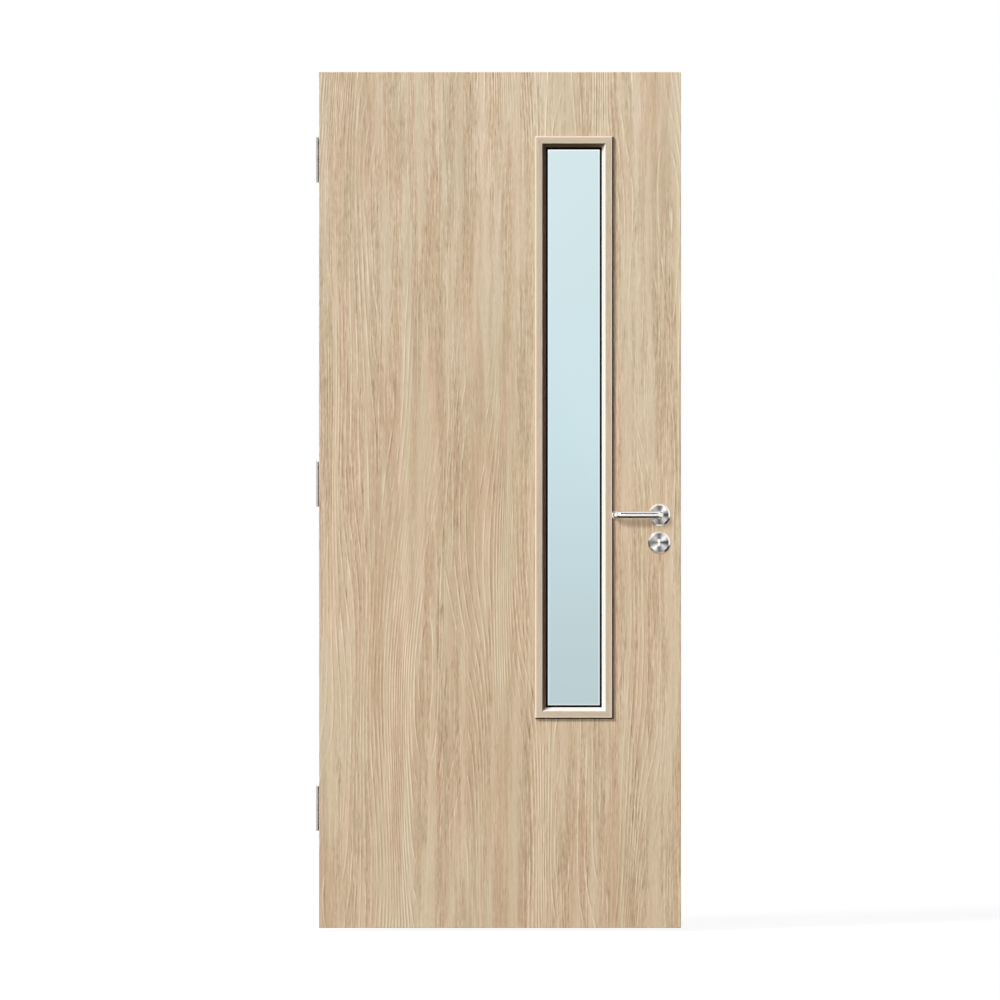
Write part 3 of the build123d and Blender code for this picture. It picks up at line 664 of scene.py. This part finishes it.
def grid_quads(rows, columns, closed=False):
    """Corner numbers of the quads between a grid's points; closed joins the last column to the first."""
    index = np.arange(rows * columns).reshape(rows, columns)
    start = index if closed else index[:, :-1]
    following = np.roll(index, -1, axis=1) if closed else index[:, 1:]
    return np.stack([start[:-1], following[:-1], following[1:], start[1:]], axis=-1).reshape(-1, 4)


def mesh_object(name, points, quads, material):
    """A mesh with one material, at the origin, with its place in its points."""
    mesh = bpy.data.meshes.new(name)
    mesh.from_pydata(points.reshape(-1, 3).tolist(), [], quads.tolist())
    mesh.update()
    mesh.materials.append(material)
    made = bpy.data.objects.new(name, mesh)
    bpy.context.scene.collection.objects.link(made)
    return made


def flat_patch(name, corners, material):
    """A flat mesh: the patch between four corners, given as two rows of two."""
    points = np.array(corners)
    return mesh_object(name, points, grid_quads(*points.shape[:2]), material)


# Screws

SCREW_HEAD_RADIUS = 0.0047
SCREW_HEAD_RISE = 0.0002
SCREW_CONE_DEPTH = 0.0021
SCREW_SHANK_RADIUS = 0.0026
CROSS_LENGTH, CROSS_RUN_OUT = 0.0026, 0.5
CROSS_WIDTH, CROSS_FLANK = 0.0007, 0.35
CROSS_DEPTH = 0.0014

# Points of a screw head: with a crowding under 1 the rows lie closer together towards the rim
DOME_ROWS, CONE_ROWS, POINTS_AROUND = 22, 3, 64
ROW_CROWDING = 0.8

# Turns of the cross recess in radians: the first screw's, and how much further each next one is turned
FIRST_TURN, NEXT_TURN = 0.4, 1.7

# Inset and spacing of each column of screws in a hinge leaf
HINGE_SCREW_COLUMNS = ((0.010, 0.076), (0.021, 0.026))
FOREND_SCREW_INSET = 0.012
HEAD_BELOW_FACE = 0.0003


def screw_head(turn):
    """Points of a countersunk screw head about +X, in rows by columns.

    Height over the rim: a shallow dome, less a cross-shaped recess that fades out towards its arms' ends.
    The rows run from the centre to the rim, and the last ones follow the cone in to the shank.
    """
    radius = np.linspace(0.0, 1.0, DOME_ROWS)[:, None] ** ROW_CROWDING * SCREW_HEAD_RADIUS
    angle = np.arange(POINTS_AROUND) * 2 * math.pi / POINTS_AROUND
    across, up = radius * np.cos(angle), radius * np.sin(angle)
    dome = SCREW_HEAD_RISE * (1 - (radius / SCREW_HEAD_RADIUS) ** 2)
    slim, long = np.minimum(abs(across), abs(up)), np.maximum(abs(across), abs(up))
    arm = np.clip((CROSS_WIDTH - slim) / (CROSS_FLANK * CROSS_WIDTH), 0, 1)
    depth = CROSS_DEPTH * np.clip((CROSS_LENGTH - long) / (CROSS_RUN_OUT * CROSS_LENGTH), 0, 1)
    share = np.linspace(0.0, 1.0, CONE_ROWS + 1)[1:, None]
    cone = SCREW_HEAD_RADIUS + share * (SCREW_SHANK_RADIUS - SCREW_HEAD_RADIUS)
    across = np.vstack([across, cone * np.cos(angle)])
    up = np.vstack([up, cone * np.sin(angle)])
    height = np.vstack([dome - arm * depth, -share * SCREW_CONE_DEPTH * np.ones(POINTS_AROUND)])
    cos, sin = math.cos(turn), math.sin(turn)
    return np.stack([height, across * cos - up * sin, across * sin + up * cos], axis=-1)


def screws(name, places, way, body, material):
    """Screws at the given places, joined into one piece. Their heads face +X, or -X where way is -1."""
    facing = np.array([way, way, 1.0])
    turns = FIRST_TURN + NEXT_TURN * np.arange(len(places))
    heads = np.stack([screw_head(turn) * facing + place for turn, place in zip(turns, places)])
    count, rows, columns = heads.shape[:3]
    quads = grid_quads(rows, columns, closed=True)[:, ::-1]
    starts = np.arange(count)[:, None, None] * rows * columns
    made = mesh_object(name, heads, (starts + quads).reshape(-1, 4), material)
    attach(made, body)


def hinge_screw_places(node, face_x):
    """Centres of the four countersinks in one hinge leaf: two columns, each by its inset and its spacing."""
    low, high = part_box(node)
    middle = (low[2] + high[2]) / 2
    return [
        (face_x, low[1] + inset, middle + side * spacing / 2)
        for inset, spacing in HINGE_SCREW_COLUMNS
        for side in (-1, 1)
    ]


def add_screws(material):
    """Screws that hold the hinges to the leaf, and the forend to the lock edge."""
    edge = float(LEAF_LOW[0]) + HEAD_BELOW_FACE
    for hinge in HINGES:
        places = hinge_screw_places(f"{hinge}_hinge_door_leaf", edge)
        screws(f"{hinge}_hinge_screws", places, -1, "door_leaf", material)
    low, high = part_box("lock_forend")
    places = [
        (high[0] - HEAD_BELOW_FACE, 0.0, low[2] + FOREND_SCREW_INSET),
        (high[0] - HEAD_BELOW_FACE, 0.0, high[2] - FOREND_SCREW_INSET),
    ]
    screws("forend_screws", places, 1, "door_leaf", material)


# Finishes of the solids


def paint(node, material):
    """Gives a solid's node its material."""
    slots = NODES[node].data.materials
    slots.clear()
    slots.append(material)


def paint_leaf():
    """Finishes the facings, beads, lippings, core, pane and seals."""
    seal = seal_material()
    for face in FACES:
        paint(f"{face}_facing", oak_material(f"oak_{face}", *FACING_GRAIN[face]))
        for member in BEAD_MEMBERS:
            grain = LEVEL_BEAD_GRAIN if member in LEVEL_BEADS else UPRIGHT_BEAD_GRAIN
            # Painted shade on the splays that turn away from the lamps, painted light on the others
            splay = PAINTED_SHADED_SPLAY if member in PAINTED_SHADED_SPLAYS[face] else PAINTED_LIT_SPLAY
            paint(f"{face}_bead_{member}", bead_material(f"oak_bead_{face}_{member}", *grain, *splay))
        paint(f"{face}_glazing_seal", seal)
    upright = oak_material("oak_edge_upright", *UPRIGHT_EDGE_GRAIN)
    level = oak_material("oak_edge_level", *LEVEL_EDGE_GRAIN, end_share=0.0)
    for edge, material in (("hinge", upright), ("lock", upright), ("top", level), ("bottom", level)):
        paint(f"{edge}_edge_lipping", material)
    paint("core", board_material())
    paint("glass_pane", glass_material())


def paint_metalwork():
    """Finishes the levers, discs, lock and hinges, and adds the screws."""
    rose = turned_material("stainless_rose", LEVER_AXIS)
    cover = turned_material("stainless_escutcheon", KEYHOLE_AXIS)
    bar = brushed_material("stainless_bar", BAR_ROUGHNESS, ALONG_X, BAR_LIGHT_AND_RIM_HIGHLIGHT, BAR_DARK)
    plate = brushed_material("stainless_plate", PLATE_ROUGHNESS, ALONG_Z, STEEL_LIGHT, STEEL_DARK)
    plated = brushed_material("zinc_plated", ZINC_ROUGHNESS, EVENLY, ZINC_LIGHT, ZINC_DARK)
    nickel = brushed_material("nickel_plated", NICKEL_ROUGHNESS, ALONG_X, NICKEL_LIGHT, NICKEL_DARK)
    for face in FACES:
        paint(f"{face}_lever_rose", rose)
        paint(f"{face}_keyhole_escutcheon", cover)
        paint(f"{face}_lever", bar)
    for hinge in HINGES:
        for piece in ("jamb_leaf", "door_leaf", "pin"):
            paint(f"{hinge}_hinge_{piece}", plate)
    paint("lock_forend", plate)
    paint("lock_case", plated)
    paint("spindle", plated)
    paint("latch_bolt", nickel)
    paint("deadbolt", nickel)
    add_screws(plated)


# Stage, light and camera

AMBIENT = 0.03
FLOOR_REACH = 30.0
FLOOR_GAP = 0.008
FLOOR_SHADOW_SHARE = 0.12
FLOOR_PALE, FLOOR_DARK, FLOOR_GLOW = 0.58, 0.01, 1.07

CARD_PAST_HINGES, CARD_PAST_LOCK = 0.75, 1.5
LOW_CARD_NEAR, LOW_CARD_FAR, LOW_CARD_SHADE = 0.047, 1.59, 0.015
HIGH_CARD_NEAR, HIGH_CARD_FAR, HIGH_CARD_SHADE = 0.74, 1.98, 0.07
HIGH_CARD_GAP = 0.10

KEY_FROM, KEY_STRENGTH = np.array([-0.60, -0.42, 0.62]), 4.0
FILL_FROM, FILL_STRENGTH = np.array([-0.44, -1.00, 0.35]), 1.4
LAMP_SPREAD_DEG = 12.0

# Picture: the photograph's frame is 1000 pixels wide, and this many millimetres go to one
MM_PER_PIXEL = 2.3145
PICTURE_PIXELS = 1000
LENS_MM, SENSOR_MM = 300.0, 36.0
SIGHT_REACH = 100.0


def seen_directly(tree):
    """1 for what the eye sees, also mirrored or through glass, and 0 for the light that falls on things."""
    path = tree.node("ShaderNodeLightPath").outputs
    either = tree.math("MAXIMUM", path["Is Camera Ray"], path["Is Glossy Ray"])
    either = tree.math("MAXIMUM", either, path["Is Transmission Ray"])
    return tree.product(either, tree.math("LESS_THAN", path["Diffuse Depth"], 0.5))


def make_world():
    """White to the eye, and a low even light on the object."""
    world = bpy.data.worlds.new("white_studio")
    tree = cleared(world)
    dim = tree.node("ShaderNodeBackground", Color=WHITE, Strength=AMBIENT)
    white = tree.node("ShaderNodeBackground", Color=WHITE, Strength=1.0)
    mixed = tree.mixed_shader(seen_directly(tree), dim, white)
    tree.node("ShaderNodeOutputWorld", Surface=mixed.outputs[0])
    bpy.context.scene.world = world


def make_floor():
    """Pale floor just under the leaf: white to the eye, with a faint shadow."""
    material = bpy.data.materials.new("pale_floor")
    tree = cleared(material)
    matt = tree.node("ShaderNodeBsdfDiffuse", Color=grey(FLOOR_PALE))
    dim = tree.node("ShaderNodeBsdfDiffuse", Color=grey(FLOOR_DARK))
    white = tree.node("ShaderNodeEmission", Color=WHITE, Strength=FLOOR_GLOW)
    pale = tree.mixed_shader(1.0 - FLOOR_SHADOW_SHARE, matt, white)
    mixed = tree.mixed_shader(seen_directly(tree), dim, pale)
    tree.node("ShaderNodeOutputMaterial", Surface=mixed.outputs[0])
    level = float(LEAF_LOW[2]) - FLOOR_GAP
    ends = (-FLOOR_REACH, FLOOR_REACH)
    corners = [[(across, deep, level) for across in ends] for deep in ends]
    floor = flat_patch("floor", corners, material)
    return floor


def make_sun(name, source, strength):
    """A lamp as far off as the sun, shining from the given way."""
    lamp = bpy.data.lights.new(name, "SUN")
    lamp.energy = strength
    lamp.angle = math.radians(LAMP_SPREAD_DEG)
    made = bpy.data.objects.new(name, lamp)
    bpy.context.scene.collection.objects.link(made)
    made.rotation_euler = Vector(source).to_track_quat("Z", "Y").to_euler()
    return made


def make_card(name, corners, shade):
    """A card that shows only in reflections."""
    material = bpy.data.materials.new(name)
    tree = cleared(material)
    glow = tree.node("ShaderNodeEmission", Color=grey(shade), Strength=1.0)
    tree.node("ShaderNodeOutputMaterial", Surface=glow.outputs[0])
    card = flat_patch(name, corners, material)
    card.visible_camera = False
    card.visible_diffuse = False
    card.visible_transmission = False
    card.visible_shadow = False


def make_cards():
    """Dark level cards, in front and behind, which draw the bands along the round levers.

    The low one lies at the leaf's foot and the high one over the pane's head, so that the pane shows
    neither from the front. The pane itself stays out of reflections, so that the levers' ends beside it
    show white.
    """
    NODES["glass_pane"].visible_glossy = False
    sides = (float(LEAF_LOW[0]) - CARD_PAST_HINGES, float(LEAF_HIGH[0]) + CARD_PAST_LOCK)
    over_pane = float(BEAD_HIGH[2]) + HIGH_CARD_GAP
    for name, level, near, far, shade in (
        ("low_card", float(LEAF_LOW[2]), LOW_CARD_NEAR, LOW_CARD_FAR, LOW_CARD_SHADE),
        ("high_card", over_pane, HIGH_CARD_NEAR, HIGH_CARD_FAR, HIGH_CARD_SHADE),
    ):
        for face, way in FACES.items():
            corners = [[(side, way * deep, level) for side in sides] for deep in (near, far)]
            make_card(f"{name}_{face}", corners, shade)


def leave_out(lamp, things, what):
    """Leaves objects out of a lamp's light or out of its shadows.

    For the light, what is receiver_collection, and for the shadows it is blocker_collection.
    """
    spared = bpy.data.collections.new(f"{lamp.name}_{what}")
    for thing in things:
        spared.objects.link(thing)
    for link in spared.collection_objects:
        link.light_linking.link_state = "EXCLUDE"
    setattr(lamp.light_linking, what, spared)


def make_lamps(floor):
    """A raking lamp and a weaker one for each face; the pair behind is the front pair turned half round.

    The raking lamp shines past the levers and discs, so that only the weaker one throws their shadow, and
    it leaves their metal to its reflections. The pane takes no lamp, so that none shines through it on the
    beads. The pair behind is kept off the floor and the head of the leaf, which the front pair lights.
    """
    metal = [NODES["spindle"]] + [NODES[f"{face}_{piece}"] for face in FACES for piece in ("lever", *DISCS)]
    for face, way in FACES.items():
        turned = np.array([-way, -way, 1.0])
        kept_dark = [NODES["glass_pane"]]
        if face == "back":
            kept_dark += [NODES["top_edge_lipping"], floor]
        key = make_sun(f"key_{face}", turned * KEY_FROM, KEY_STRENGTH)
        leave_out(key, metal, "blocker_collection")
        leave_out(key, metal + kept_dark, "receiver_collection")
        fill = make_sun(f"fill_{face}", turned * FILL_FROM, FILL_STRENGTH)
        leave_out(fill, kept_dark, "receiver_collection")


def make_camera():
    """Square on to the front face, far off, so that the leaf shows almost without perspective."""
    lens = bpy.data.cameras.new("camera")
    lens.lens = LENS_MM
    lens.sensor_width = SENSOR_MM
    lens.clip_end = SIGHT_REACH
    width = MM_PER_PIXEL * PICTURE_PIXELS / 1000.0
    distance = width * LENS_MM / SENSOR_MM
    made = bpy.data.objects.new("camera", lens)
    bpy.context.scene.collection.objects.link(made)
    made.location = (LEAF_CENTRE[0], LEAF_LOW[1] - distance, LEAF_CENTRE[2])
    made.rotation_euler = (math.pi / 2, 0.0, 0.0)
    bpy.context.scene.camera = made


paint_leaf()
paint_metalwork()
make_world()
make_cards()
make_lamps(make_floor())
make_camera()
bpy.context.scene.view_settings.view_transform = "Standard"
